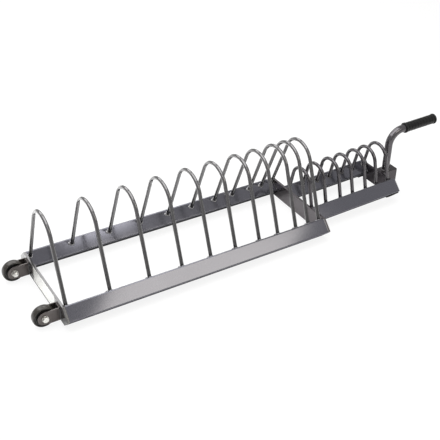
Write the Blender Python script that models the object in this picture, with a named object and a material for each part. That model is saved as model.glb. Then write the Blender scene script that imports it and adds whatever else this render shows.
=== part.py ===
"""A wheeled rack for round weight plates: two rails with hoops between which the plates stand."""

import math

import bmesh
import bpy
from mathutils import Matrix, Vector

MM = 0.001

# Square tube of the rails, standing on one of its long corners, which is a narrow flat.
TUBE = 50.0
TUBE_WALL = 3.0
TUBE_CORNER = 4.0
CORNER_STEPS = 5

# Main frame: the step from each hoop to the next, and how far the tubes run past the end hoops.
MAIN_HALF_GAUGE = 146.0
MAIN_STEPS = (135.0, 126.8, 109.3, 99.9, 89.4, 88.0, 70.6, 70.3, 48.7, 42.5)
PAST_FIRST_HOOP = 8.3
PAST_LAST_HOOP = 9.7
PLATE = 8.0
PLATE_HEIGHT = 59.0

# Small frame, which climbs slightly towards the handle.
CLIMB = math.radians(1.6)
SMALL_AXIS_Z = 35.0
SMALL_HALF_GAUGE = 77.7
SMALL_FIRST_HOOP = 7.6
SMALL_STEPS = (59.4, 61.5, 53.0, 56.5, 49.0, 48.5)
PAST_SMALL_HOOPS = 18.5
END_CAP = 3.0

# Bar between the ends of the small rails.
BAR_INSET = 10.5
BAR_TOP = 28.0
BAR_BOTTOM = -31.5

# Hoops bent from round rod: how far inside the rail's axis and above it the leg's centre line passes,
# the radius of the round top and the height of its centre line above the rail's axis.
ROD = 12.0
MAIN_HOOP = {"inset": 11.6, "above": 26.4, "radius": 66.4, "apex": 252.8}
SMALL_HOOP = {"inset": 6.7, "above": 0.0, "radius": 46.5, "apex": 139.5}

# Handle: a stub of flat tube, a bent round tube and a rubber grip.
STUB_WIDTH = 40.0
STUB_HEIGHT = 50.0
STUB_LENGTH = 67.5
STUB_WALL = 3.0
STUB_CORNER = 3.5
STUB_TOP = 23.5
POST = 26.9
POST_WALL = 2.0
POST_FROM_BAR = 33.2
BEND_RADIUS = 51.0
HANDLE_HEIGHT = 171.0
BEND_TO_GRIP = 11.5
GRIP_LENGTH = 140.5
GRIP_WALL = 3.5
GRIP_END_WALL = 6.0
GRIP_RIBS = 9
GRIP_GROOVE = 1.0
COLLAR = 1.5
COLLAR_LENGTH = 7.0

# Wheels, which reach the floor only when the handle is lifted.
WHEEL = 67.0
WHEEL_WIDTH = 21.0
WHEEL_LIFT = 2.5
WHEEL_INSET = 27.6
TYRE_SHOULDER = 3.0
RIM = 46.0
RIM_WALL = 4.0
HUB = 28.0
WEB = 9.0
BUSH = 16.0

# Forks of bent sheet, and the bolt through each.
FORK_SHEET = 3.0
FORK_BEND = 4.0
FORK_RADIUS = 21.5
TYRE_TO_WEB = 9.0
TYRE_TO_EAR = 2.0
AXLE = 10.0
WASHER = 20.0
WASHER_THICK = 1.6
HEAD_ACROSS = 16.5
HEAD_HEIGHT = 6.4
NUT_HEIGHT = 10.0
THREAD_PAST_NUT = 2.0

# Rubber foot folded round the lower corner of each small rail.
FOOT_LENGTH = 25.0
FOOT_DEPTH = 2.5
FOOT_HALF_FLAT = 4.0
FOOT_REACH = 45.0
FOOT_SKIN = 3.0

# Clearances: welded neighbours, and the axle in what it passes through.
GAP = 0.3
RUN = 0.1

# Sides of the rod, of the handle tube, of most turned parts and of the tyre.
ROD_SIDES = 10
POST_SIDES = 20
ROUND = 24
TYRE_SIDES = 40
SWAP_X_AND_Y = Matrix(((0, 1, 0, 0), (1, 0, 0, 0), (0, 0, 1, 0), (0, 0, 0, 1)))
SWAP_X_AND_Z = Matrix(((0, 0, 1, 0), (0, 1, 0, 0), (1, 0, 0, 0), (0, 0, 0, 1)))

# What follows from the sizes above. Heights count from the floor, lengths from the first hoop.
HALF_DIAGONAL = TUBE / math.sqrt(2)
RIDGE = (TUBE / 2 - TUBE_CORNER) * math.sqrt(2) + TUBE_CORNER * math.cos(math.pi / 4 / CORNER_STEPS)
RAIL_AXIS_Z = RIDGE
MAIN_HOOPS = [sum(MAIN_STEPS[:k]) for k in range(len(MAIN_STEPS) + 1)]
MAIN_START = -PAST_FIRST_HOOP
MAIN_LENGTH = PAST_FIRST_HOOP + MAIN_HOOPS[-1] + PAST_LAST_HOOP
MIDDLE_PLATE_X = MAIN_START + MAIN_LENGTH + GAP
SMALL_START = MIDDLE_PLATE_X + PLATE
SMALL_HOOPS = [SMALL_FIRST_HOOP + sum(SMALL_STEPS[:k]) for k in range(len(SMALL_STEPS) + 1)]
SMALL_LENGTH = SMALL_HOOPS[-1] + PAST_SMALL_HOOPS
BAR_AT = SMALL_LENGTH - BAR_INSET
STUB_AT = BAR_AT + PLATE + GAP
POST_AT = STUB_AT + POST_FROM_BAR
GRIP_START = POST_AT + BEND_RADIUS + BEND_TO_GRIP
GRIP_END = GRIP_START + GRIP_LENGTH
GRIP_RADIUS = POST / 2 + GRIP_WALL
COLLAR_RADIUS = GRIP_RADIUS + COLLAR
FORK_REACH = WHEEL / 2 + TYRE_TO_WEB + FORK_SHEET
FORK_WIDTH = WHEEL_WIDTH + 2 * TYRE_TO_EAR + 2 * FORK_SHEET
BUSH_LENGTH = FORK_WIDTH - 2 * FORK_SHEET - 2 * GAP
AXLE_X = MAIN_START - PLATE - 2 * GAP - FORK_REACH
AXLE_Y = MAIN_HALF_GAUGE - WHEEL_INSET
AXLE_Z = WHEEL / 2 + WHEEL_LIFT
WHEEL_END = AXLE_X - WHEEL / 2
GRIP_FACE_LOW = HANDLE_HEIGHT - GRIP_RADIUS + COLLAR
HANDLE_END = SMALL_START + GRIP_END * math.cos(CLIMB) - GRIP_FACE_LOW * math.sin(CLIMB)


def clear_scene():
    for item in list(bpy.data.objects):
        bpy.data.objects.remove(item, do_unlink=True)


def material(name, colour, metallic, roughness):
    made = bpy.data.materials.new(name)
    made.use_nodes = True
    shader = made.node_tree.nodes["Principled BSDF"]
    shader.inputs["Base Color"].default_value = (*colour, 1.0)
    shader.inputs["Metallic"].default_value = metallic
    shader.inputs["Roughness"].default_value = roughness
    return made


def add_object(name, mesh, look, parent, at=(0, 0, 0), turn=(0, 0, 0)):
    """Adds an object, or an empty where mesh is None. at is in millimetres."""
    made = bpy.data.objects.new(name, mesh)
    bpy.context.scene.collection.objects.link(made)
    if look and not mesh.materials:
        mesh.materials.append(look)
    made.location = Vector(at) * MM
    made.rotation_euler = turn
    made.parent = parent
    return made


def finish_mesh(name, shape, smooth=False):
    """Turns a shape in millimetres into a mesh in metres, with its faces looking out."""
    bmesh.ops.recalc_face_normals(shape, faces=shape.faces)
    bmesh.ops.scale(shape, vec=(MM, MM, MM), verts=shape.verts)
    mesh = bpy.data.meshes.new(name)
    shape.to_mesh(mesh)
    shape.free()
    if smooth:
        mesh.shade_smooth()
        mesh.set_sharp_from_angle(angle=math.radians(40))
    return mesh


def rounded(corners, radii, steps=CORNER_STEPS):
    """The outline through the corners, each rounded with its radius. A radius of 0 leaves the corner sharp."""
    outline = []
    for i, corner in enumerate(corners):
        here = Vector(corner)
        before = (Vector(corners[i - 1]) - here).normalized()
        after = (Vector(corners[(i + 1) % len(corners)]) - here).normalized()
        if not radii[i]:
            outline.append(here)
            continue
        half = before.angle(after) / 2
        centre = here + (before + after).normalized() * radii[i] / math.sin(half)
        start = (here + before * radii[i] / math.tan(half) - centre).normalized()
        end = (here + after * radii[i] / math.tan(half) - centre).normalized()
        for k in range(steps + 1):
            outline.append(centre + start.slerp(end, k / steps) * radii[i])
    return outline


def rounded_box(width, height, radius):
    w, h = width / 2, height / 2
    return rounded([(w, -h), (w, h), (-w, h), (-w, -h)], [radius] * 4)


def extrusion(outline, start, length, hole=None):
    """A bar along X with the outline in Y and Z. A hole has as many points as the outline and runs right through."""
    shape = bmesh.new()

    def ring(points, x):
        return [shape.verts.new((x, p.x, p.y)) for p in points]

    def walls(a, b):
        for i in range(len(a)):
            j = (i + 1) % len(a)
            shape.faces.new((a[i], a[j], b[j], b[i]))

    near, far = ring(outline, start), ring(outline, start + length)
    walls(near, far)
    if hole:
        inner_near, inner_far = ring(hole, start), ring(hole, start + length)
        walls(inner_far, inner_near)
        walls(inner_near, near)
        walls(far, inner_far)
    else:
        shape.faces.new(near)
        shape.faces.new(far)
    return shape


def tube_shape(width, height, wall, corner, length):
    outer = rounded_box(width, height, corner)
    inner = rounded_box(width - 2 * wall, height - 2 * wall, max(corner - wall, 0.5))
    return extrusion(outer, 0, length, inner)


def lathe(profile, steps=ROUND):
    """A body turned about Y from a closed profile of (radius, y) points. Radius 0 lies on the axis."""
    shape = bmesh.new()
    rings = []
    for radius, y in profile:
        if radius == 0:
            rings.append([shape.verts.new((0, y, 0))])
            continue
        turns = [2 * math.pi * k / steps for k in range(steps)]
        rings.append([shape.verts.new((radius * math.cos(a), y, radius * math.sin(a))) for a in turns])
    for a, b in zip(rings, rings[1:] + rings[:1]):
        if len(a) == 1 and len(b) == 1:
            continue
        for k in range(steps):
            n = (k + 1) % steps
            if len(a) == 1:
                shape.faces.new((a[0], b[k], b[n]))
            elif len(b) == 1:
                shape.faces.new((a[k], b[0], a[n]))
            else:
                shape.faces.new((a[k], b[k], b[n], a[n]))
    return shape


def sweep(path, radius, sides, aside):
    """Rings round a path that stays in one plane. aside is the direction square to that plane."""
    rings = []
    for i, point in enumerate(path):
        along = (path[min(i + 1, len(path) - 1)] - path[max(i - 1, 0)]).normalized()
        up = along.cross(aside)
        turns = [2 * math.pi * k / sides for k in range(sides)]
        rings.append([point + radius * (math.cos(a) * aside + math.sin(a) * up) for a in turns])
    return rings


def skin(rings, inner=None):
    """Closes the rings into a solid, or into a pipe when inner rings are given."""
    shape = bmesh.new()

    def walls(a, b):
        for i in range(len(a)):
            j = (i + 1) % len(a)
            shape.faces.new((a[i], a[j], b[j], b[i]))

    outer = [[shape.verts.new(p) for p in ring] for ring in rings]
    for a, b in zip(outer, outer[1:]):
        walls(a, b)
    if inner is None:
        shape.faces.new(outer[0])
        shape.faces.new(outer[-1])
        return shape
    bore = [[shape.verts.new(p) for p in ring] for ring in inner]
    for a, b in zip(bore, bore[1:]):
        walls(b, a)
    walls(bore[0], outer[0])
    walls(outer[-1], bore[-1])
    return shape


def leg_lean(hoop, gauge):
    """The lean of the straight legs that run on smoothly into the round top."""
    rise = hoop["apex"] - hoop["radius"] - hoop["above"]
    out = gauge - hoop["inset"]
    return math.acos(hoop["radius"] / math.hypot(out, rise)) - math.atan2(rise, out)


def hoop_shape(hoop, gauge, axis_z):
    """A hoop in the plane x = 0, with each foot cut parallel to the inner upper face of its rail."""
    lean = leg_lean(hoop, gauge)
    centre_z = axis_z + hoop["apex"] - hoop["radius"]
    steps = 12
    sweep_half = math.pi / 2 - lean
    arc = []
    for k in range(steps + 1):
        a = -sweep_half + 2 * sweep_half * k / steps
        arc.append(Vector((0, hoop["radius"] * math.sin(a), centre_z + hoop["radius"] * math.cos(a))))
    rings = sweep(arc, ROD / 2, ROD_SIDES, Vector((1, 0, 0)))
    for side in (-1, 1):
        down = Vector((0, side * math.sin(lean), -math.cos(lean)))
        facing = Vector((0, -side, 1)).normalized()
        face_point = Vector((0, side * gauge, axis_z + HALF_DIAGONAL)) + facing * GAP
        end = rings[0] if side < 0 else rings[-1]
        foot = [p + down * ((face_point - p).dot(facing) / down.dot(facing)) for p in end]
        if side < 0:
            rings.insert(0, foot)
        else:
            rings.append(foot)
    return skin(rings)


def diamond_plate_outline():
    """The closing plate of the main frame: its top lies level with the ridges and its ends follow the tubes."""
    top = RAIL_AXIS_Z + RIDGE
    bottom = top - PLATE_HEIGHT
    ridge_y = MAIN_HALF_GAUGE + HALF_DIAGONAL - RIDGE
    tip_y = MAIN_HALF_GAUGE + HALF_DIAGONAL
    low_y = tip_y - (RAIL_AXIS_Z - bottom)
    half = [(low_y, bottom), (tip_y, RAIL_AXIS_Z), (ridge_y, top)]
    corners = half + [(-y, z) for y, z in reversed(half)]
    return rounded(corners, [0, TUBE_CORNER, 1.5, 1.5, TUBE_CORNER, 0])


def handle_bar_outline():
    """The bar at the handle end, fitted between the facing sides of the small rails."""
    slack = GAP * math.sqrt(2)
    inner = SMALL_HALF_GAUGE - HALF_DIAGONAL - slack
    half = [(inner - BAR_BOTTOM, BAR_BOTTOM), (inner, 0.0), (inner + BAR_TOP, BAR_TOP)]
    return [Vector(p) for p in half + [(-y, z) for y, z in reversed(half)]]


def fork_plan():
    """The U of bent sheet seen from above, with its web against the plate. Points are (across, along)."""
    outer, inner = FORK_WIDTH / 2, FORK_WIDTH / 2 - FORK_SHEET
    web, tip = FORK_REACH, -1.2 * FORK_RADIUS
    corners = [(-outer, tip), (-outer, web), (outer, web), (outer, tip)]
    corners += [(inner, tip), (inner, web - FORK_SHEET), (-inner, web - FORK_SHEET), (-inner, tip)]
    inside = FORK_BEND - FORK_SHEET
    return rounded(corners, [0, FORK_BEND, FORK_BEND, 0, 0, inside, inside, 0])


def ear_outline():
    """The side view of the fork: its end is round about the axle. Points are (along, up)."""
    behind_web = FORK_REACH + FORK_BEND
    back = [Vector((behind_web, -FORK_RADIUS)), Vector((behind_web, FORK_RADIUS))]
    turns = [math.pi / 2 + math.pi * k / 16 for k in range(17)]
    return back + [Vector((math.cos(a), math.sin(a))) * FORK_RADIUS for a in turns]


def cylinder_about_y(radius, length, steps=ROUND):
    return lathe([(0, -length / 2), (radius, -length / 2), (radius, length / 2), (0, length / 2)], steps)


def cutter(name, mesh, parent, at=(0, 0, 0)):
    made = add_object(name, mesh, None, parent, at)
    made.hide_render = True
    made.display_type = "WIRE"
    return made


def cut(target, tool, operation="DIFFERENCE"):
    step = target.modifiers.new("with " + tool.name, "BOOLEAN")
    step.operation = operation
    step.solver = "EXACT"
    step.object = tool


def hexagon(across, height, chamfer, bore, steps=24):
    """A hexagon about Y from y = 0 to y = height, its far corners turned down. bore 0 leaves it solid."""
    turns = [2 * math.pi * k / steps for k in range(steps)]
    corner = across / math.sqrt(3)
    flat = [across / 2 / math.cos(a % (math.pi / 3) - math.pi / 6) for a in turns]
    worn = [min(r, (across / 2 + corner) / 2) for r in flat]
    shape = bmesh.new()

    def ring(radii, y):
        return [shape.verts.new((r * math.cos(a), y, r * math.sin(a))) for r, a in zip(radii, turns)]

    levels = [ring(flat, 0), ring(flat, height - chamfer), ring(worn, height)]
    if bore:
        levels += [ring([bore] * steps, height), ring([bore] * steps, 0)]
    else:
        shape.faces.new(levels[0])
        shape.faces.new(levels[-1])
    pairs = list(zip(levels, levels[1:]))
    if bore:
        pairs.append((levels[-1], levels[0]))
    for low, high in pairs:
        for k in range(steps):
            n = (k + 1) % steps
            shape.faces.new((low[k], high[k], high[n], low[n]))
    return shape


clear_scene()

frame_paint = material("frame paint", (0.105, 0.105, 0.118), 0.75, 0.36)
hoop_paint = material("hoop paint", (0.125, 0.125, 0.132), 0.75, 0.33)
plate_paint = material("plate paint", (0.115, 0.108, 0.106), 0.75, 0.34)
fork_paint = material("fork paint", (0.085, 0.076, 0.072), 0.7, 0.38)
rubber = material("black rubber", (0.012, 0.012, 0.012), 0.0, 0.62)
grip_rubber = material("grip rubber", (0.014, 0.014, 0.015), 0.0, 0.5)
nylon = material("wheel centre", (0.02, 0.02, 0.021), 0.0, 0.42)
zinc = material("bright zinc", (0.62, 0.62, 0.6), 1.0, 0.28)
steel = material("turned steel", (0.42, 0.42, 0.42), 1.0, 0.32)

# Everything hangs on one empty, so that the origin is at the middle of the rack on the floor.
rack = add_object("rack", None, None, None, (-(WHEEL_END + HANDLE_END) / 2, 0, 0))
on_corner = (math.radians(45), 0, 0)

# Main rails: each tube is turned about its length so that a corner points down.
rail = finish_mesh("main rail", tube_shape(TUBE, TUBE, TUBE_WALL, TUBE_CORNER, MAIN_LENGTH), True)
for name, side in (("rail_front", -1), ("rail_rear", 1)):
    at = (MAIN_START, side * MAIN_HALF_GAUGE, RAIL_AXIS_Z)
    add_object(name, rail, frame_paint, rack, at, on_corner)

# Closing plates over both ends of the main rails.
closing = finish_mesh("closing plate", extrusion(diamond_plate_outline(), 0, PLATE))
add_object("plate_wheel_end", closing, plate_paint, rack, (MAIN_START - GAP - PLATE, 0, 0))
add_object("plate_middle", closing, plate_paint, rack, (MIDDLE_PLATE_X, 0, 0))

# Hoops of the main frame.
main_hoop = finish_mesh("main hoop", hoop_shape(MAIN_HOOP, MAIN_HALF_GAUGE, RAIL_AXIS_Z), True)
for number, x in enumerate(MAIN_HOOPS, 1):
    add_object(f"hoop_{number:02d}", main_hoop, hoop_paint, rack, (x, 0, 0))

# The small frame hangs on an empty that carries its climb. Its tubes start clear of the plate.
small_frame = add_object("small frame", None, None, rack, (SMALL_START, 0, SMALL_AXIS_Z), (0, -CLIMB, 0))
start_gap = GAP + HALF_DIAGONAL * math.sin(CLIMB)
small_tube = tube_shape(TUBE, TUBE, TUBE_WALL, TUBE_CORNER, SMALL_LENGTH - start_gap)
small_rail = finish_mesh("small rail", small_tube, True)
cap = finish_mesh("rail cap", extrusion(rounded_box(TUBE, TUBE, TUBE_CORNER), 0, END_CAP), True)
for name, side in (("front", -1), ("rear", 1)):
    y = side * SMALL_HALF_GAUGE
    add_object(f"small_rail_{name}", small_rail, frame_paint, small_frame, (start_gap, y, 0), on_corner)
    cap_at = (SMALL_LENGTH + GAP, y, 0)
    add_object(f"small_rail_cap_{name}", cap, frame_paint, small_frame, cap_at, on_corner)

small_hoop = finish_mesh("small hoop", hoop_shape(SMALL_HOOP, SMALL_HALF_GAUGE, 0), True)
for number, x in enumerate(SMALL_HOOPS, 1):
    add_object(f"small_hoop_{number}", small_hoop, hoop_paint, small_frame, (x, 0, 0))

handle_bar = finish_mesh("handle end bar", extrusion(handle_bar_outline(), 0, PLATE))
add_object("bar_handle_end", handle_bar, plate_paint, small_frame, (BAR_AT, 0, 0))

# Stub of flat tube that carries the handle, closed by a cap.
stub_z = STUB_TOP - STUB_HEIGHT / 2
stub = finish_mesh("stub", tube_shape(STUB_WIDTH, STUB_HEIGHT, STUB_WALL, STUB_CORNER, STUB_LENGTH), True)
stub_body = add_object("handle_stub", stub, plate_paint, small_frame, (STUB_AT, 0, stub_z))
post_hole = cylinder_about_y(POST / 2 + GAP, 4 * STUB_WALL)
bmesh.ops.rotate(post_hole, matrix=Matrix.Rotation(math.pi / 2, 3, "X"), verts=post_hole.verts)
post_hole_mesh = finish_mesh("post hole", post_hole)
cut(stub_body, cutter("post hole", post_hole_mesh, small_frame, (POST_AT, 0, STUB_TOP)))
stub_cap = extrusion(rounded_box(STUB_WIDTH, STUB_HEIGHT, STUB_CORNER), 0, END_CAP)
stub_cap_at = (STUB_AT + STUB_LENGTH + GAP, 0, stub_z)
add_object("handle_stub_cap", finish_mesh("stub cap", stub_cap, True), plate_paint, small_frame, stub_cap_at)

# Handle tube: up from inside the stub, round a bend and level to the grip.
post_foot = STUB_TOP - STUB_HEIGHT + STUB_WALL + GAP
path = [Vector((POST_AT, 0, post_foot))]
for k in range(13):
    a = math.pi - (math.pi / 2) * k / 12
    x = POST_AT + BEND_RADIUS + BEND_RADIUS * math.cos(a)
    path.append(Vector((x, 0, HANDLE_HEIGHT - BEND_RADIUS + BEND_RADIUS * math.sin(a))))
path.append(Vector((GRIP_END - GRIP_END_WALL, 0, HANDLE_HEIGHT)))
outside = sweep(path, POST / 2, POST_SIDES, Vector((0, 1, 0)))
inside = sweep(path, POST / 2 - POST_WALL, POST_SIDES, Vector((0, 1, 0)))
for ring in (outside, inside):
    ring[0] = [Vector((p.x, p.y, path[0].z)) for p in ring[0]]
    ring[-1] = [Vector((path[-1].x, p.y, p.z)) for p in ring[-1]]
handle_tube = finish_mesh("handle tube", skin(outside, inside), True)
add_object("handle_tube", handle_tube, hoop_paint, small_frame)

# Grip: a ribbed sleeve with a collar at each end, closed over the end of the tube.
bore = POST / 2 + GAP
valley = GRIP_RADIUS - GRIP_GROOVE
rib_pitch = (GRIP_LENGTH - 2 * COLLAR_LENGTH) / GRIP_RIBS
profile = [(bore, 0), (COLLAR_RADIUS - 1, 0), (COLLAR_RADIUS, 1), (COLLAR_RADIUS, COLLAR_LENGTH - 1)]
for k in range(GRIP_RIBS):
    y = COLLAR_LENGTH + k * rib_pitch
    profile += [(valley, y), (GRIP_RADIUS, y + 0.1 * rib_pitch), (GRIP_RADIUS, y + 0.7 * rib_pitch)]
    profile += [(valley, y + 0.8 * rib_pitch)]
profile += [(COLLAR_RADIUS, GRIP_LENGTH - COLLAR_LENGTH), (COLLAR_RADIUS, GRIP_LENGTH - COLLAR)]
profile += [(GRIP_RADIUS - COLLAR, GRIP_LENGTH), (0, GRIP_LENGTH)]
profile += [(0, GRIP_LENGTH - GRIP_END_WALL + GAP), (bore, GRIP_LENGTH - GRIP_END_WALL + GAP)]
grip_shape = lathe(profile)
bmesh.ops.rotate(grip_shape, matrix=Matrix.Rotation(-math.pi / 2, 3, "Z"), verts=grip_shape.verts)
grip_at = (GRIP_START, 0, HANDLE_HEIGHT)
add_object("handle_grip", finish_mesh("grip", grip_shape, True), grip_rubber, small_frame, grip_at)

# Rubber feet under the lower corners of the small rails, each reaching up the outer side only.
across = FOOT_REACH / math.sqrt(2)
thick = FOOT_SKIN / math.sqrt(2)
face = HALF_DIAGONAL + GAP * math.sqrt(2)
under, sole = RIDGE + GAP, RIDGE + FOOT_DEPTH
foot_outline = [
    (across + thick, across - face - thick),
    (FOOT_HALF_FLAT, -sole),
    (-FOOT_HALF_FLAT, -sole),
    (-FOOT_HALF_FLAT, -under),
    (face - under, -under),
    (across, across - face),
]
for name, side in (("front", -1), ("rear", 1)):
    corners = [(side * y, z) for y, z in foot_outline]
    foot_shape = extrusion([Vector(p) for p in corners], 0, FOOT_LENGTH)
    foot_at = (SMALL_LENGTH - FOOT_LENGTH, side * SMALL_HALF_GAUGE, 0)
    add_object(f"foot_{name}", finish_mesh(f"rubber foot {name}", foot_shape), rubber, small_frame, foot_at)

# Wheel forks: the bent sheet, what trims its ears to shape, and the axle hole.
fork_sheet = extrusion(fork_plan(), -1.2 * FORK_RADIUS, 2.4 * FORK_RADIUS)
bmesh.ops.transform(fork_sheet, matrix=SWAP_X_AND_Z, verts=fork_sheet.verts)
fork_mesh = finish_mesh("wheel fork", fork_sheet)
ears = extrusion(ear_outline(), -FORK_WIDTH, 2 * FORK_WIDTH)
bmesh.ops.transform(ears, matrix=SWAP_X_AND_Y, verts=ears.verts)
ears_mesh = finish_mesh("fork ears", ears)
hole_mesh = finish_mesh("axle hole", cylinder_about_y(AXLE / 2 + RUN, 2 * FORK_WIDTH))

# Wheel parts, turned about the axle.
r_tyre, r_rim, half = WHEEL / 2, RIM / 2, WHEEL_WIDTH / 2
tyre_profile = [
    (r_rim + GAP, -half),
    (r_tyre - TYRE_SHOULDER, -half),
    (r_tyre - 0.3 * TYRE_SHOULDER, -half + 0.3 * TYRE_SHOULDER),
    (r_tyre, -half + TYRE_SHOULDER),
    (r_tyre, half - TYRE_SHOULDER),
    (r_tyre - 0.3 * TYRE_SHOULDER, half - 0.3 * TYRE_SHOULDER),
    (r_tyre - TYRE_SHOULDER, half),
    (r_rim + GAP, half),
]
r_bush, r_hub, hub = BUSH / 2 + GAP, HUB / 2, BUSH_LENGTH / 2 - GAP
rim_inside, rim_edge = r_rim - RIM_WALL, half - GAP
core_profile = [
    (r_bush, -hub),
    (r_hub, -hub),
    (r_hub, -WEB / 2),
    (rim_inside - 1, -WEB / 2),
    (rim_inside, -rim_edge),
    (r_rim, -rim_edge),
    (r_rim, rim_edge),
    (rim_inside, rim_edge),
    (rim_inside - 1, WEB / 2),
    (r_hub, WEB / 2),
    (r_hub, hub),
    (r_bush, hub),
]
long, bored = BUSH_LENGTH / 2, AXLE / 2 + RUN
bush_profile = [(bored, -long), (BUSH / 2, -long), (BUSH / 2, long), (bored, long)]
tyre_mesh = finish_mesh("tyre", lathe(tyre_profile, TYRE_SIDES), True)
core_mesh = finish_mesh("wheel centre", lathe(core_profile), True)
bush_mesh = finish_mesh("bush", lathe(bush_profile), True)

# Bolt, washers and lock nut: the head is on the outer side of the rack.
under_head = FORK_WIDTH / 2 + GAP + WASHER_THICK + GAP
washer_profile = [(bored, 0), (WASHER / 2, 0), (WASHER / 2, WASHER_THICK), (bored, WASHER_THICK)]
washer_mesh = finish_mesh("washer", lathe(washer_profile), True)
nut_mesh = finish_mesh("lock nut", hexagon(HEAD_ACROSS, NUT_HEIGHT, 2.0, bored))
bolt_mesh = finish_mesh("bolt head", hexagon(HEAD_ACROSS, HEAD_HEIGHT, 1.0, 0))
shank = 2 * under_head + NUT_HEIGHT + THREAD_PAST_NUT
shank_profile = [(0, -shank), (AXLE / 2 - 1, -shank), (AXLE / 2, -shank + 1), (AXLE / 2, 1), (0, 1)]
shank_mesh = finish_mesh("bolt shank", lathe(shank_profile))

for name, side in (("front", -1), ("rear", 1)):
    axle = add_object(f"axle_{name}", None, None, rack, (AXLE_X, side * AXLE_Y, AXLE_Z))
    fork = add_object(f"fork_{name}", fork_mesh, fork_paint, axle)
    cut(fork, cutter(f"fork ears {name}", ears_mesh, axle), "INTERSECT")
    cut(fork, cutter(f"axle hole {name}", hole_mesh, axle))

    add_object(f"tyre_{name}", tyre_mesh, rubber, axle)
    add_object(f"wheel_centre_{name}", core_mesh, nylon, axle)
    add_object(f"bush_{name}", bush_mesh, steel, axle)

    # The same bolt serves both sides: the front set is turned half round so that its head faces out.
    outward = (0, 0, math.pi if side < 0 else 0)
    line = add_object(f"bolt line {name}", None, None, axle, turn=outward)
    bolt = add_object(f"axle_bolt_{name}", bolt_mesh, zinc, line, (0, under_head, 0))
    cut(bolt, cutter(f"bolt shank {name}", shank_mesh, line, (0, under_head, 0)), "UNION")
    add_object(f"washer_outer_{name}", washer_mesh, zinc, line, (0, FORK_WIDTH / 2 + GAP, 0))
    inner_washer = (0, -FORK_WIDTH / 2 - GAP - WASHER_THICK, 0)
    add_object(f"washer_inner_{name}", washer_mesh, zinc, line, inner_washer)
    add_object(f"lock_nut_{name}", nut_mesh, zinc, line, (0, -under_head, 0), (0, 0, math.pi))
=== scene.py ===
"""The looks of a wheeled rack for round weight plates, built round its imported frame. Metres, +Z up."""

import math

import bmesh
import bpy
from mathutils import Matrix, Vector


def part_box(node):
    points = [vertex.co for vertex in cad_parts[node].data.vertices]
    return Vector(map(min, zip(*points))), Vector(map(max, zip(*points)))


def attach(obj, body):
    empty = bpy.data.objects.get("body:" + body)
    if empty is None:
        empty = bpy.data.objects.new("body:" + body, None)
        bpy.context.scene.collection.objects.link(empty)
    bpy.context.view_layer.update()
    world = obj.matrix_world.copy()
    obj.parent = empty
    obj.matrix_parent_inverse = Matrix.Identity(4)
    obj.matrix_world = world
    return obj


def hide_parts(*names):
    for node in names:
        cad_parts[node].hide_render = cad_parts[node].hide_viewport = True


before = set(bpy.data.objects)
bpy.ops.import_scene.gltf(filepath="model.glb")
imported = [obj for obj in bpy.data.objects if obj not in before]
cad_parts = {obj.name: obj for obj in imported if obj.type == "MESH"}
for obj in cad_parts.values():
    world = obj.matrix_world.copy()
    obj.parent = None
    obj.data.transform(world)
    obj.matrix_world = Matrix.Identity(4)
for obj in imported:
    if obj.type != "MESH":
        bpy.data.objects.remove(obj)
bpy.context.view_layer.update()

FACING = "facing"

# Points closer than this are merged. Faces that turn by more than these degrees meet at a sharp edge.
MERGE = 1e-6
SHARP = 35
SHARP_WELD = 80

# Camera, at the photograph's viewing angle.
CAMERA_AT = (-1.31204, -1.85876, 1.56449)
CAMERA_TURN = (56.0626, -1.8678, -31.7115)
CAMERA_LENS = 68.294

# Square tube of the rails, with its rounded corners and its wall, standing on one corner.
TUBE = 0.050
TUBE_CORNER = 0.004
TUBE_WALL = 0.003
HALF_DIAGONAL = TUBE / math.sqrt(2)
ON_CORNER = Matrix.Rotation(math.radians(45), 4, "X")
END_CAP = 0.003
PLATE = 0.008

# Clearances between neighbours and round turning parts, and the softened edges of plates and tubes.
GAP = 0.0003
RUN = 0.0001
EDGE = 0.0007
TUBE_EDGE = 0.0005
FOOT_GAP = GAP * math.sqrt(2)

# Main frame. Its rails stand on the flats of their lower corners, RIDGE below their axes.
GAUGE = 0.146
AXIS_Z = 0.033649
RIDGE = AXIS_Z

# The small frame climbs towards the handle from the middle plate.
CLIMB = math.radians(1.6)
SMALL_GAUGE = 0.0777
SMALL_LENGTH = 0.354
SMALL_START = Matrix.Translation((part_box("plate_middle")[1].x, 0, 0.035))
SMALL = SMALL_START @ Matrix.Rotation(-CLIMB, 4, "Y")
BAR_AT = 0.3435
BAR_TOP = 0.028
BAR_BOTTOM = -0.0315

# Rod of the hoops, the radius of their round top and the lean of their legs. A foot is given by how far
# inside the rail's axis and above it the centre line of the leg passes.
ROD = 0.012
ROD_SIDES = 20
HOOP_STEPS = 36
MAIN_HOOPS = 11
SMALL_HOOPS = 7
MAIN_TOP = 0.0664
MAIN_LEAN = math.radians(21.50)
MAIN_FOOT = (0.0116, 0.0264)
SMALL_TOP = 0.0465
SMALL_LEAN = math.radians(13.94)
SMALL_FOOT = (0.0067, 0.0)
SMALL_APEX = 0.1452

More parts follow.
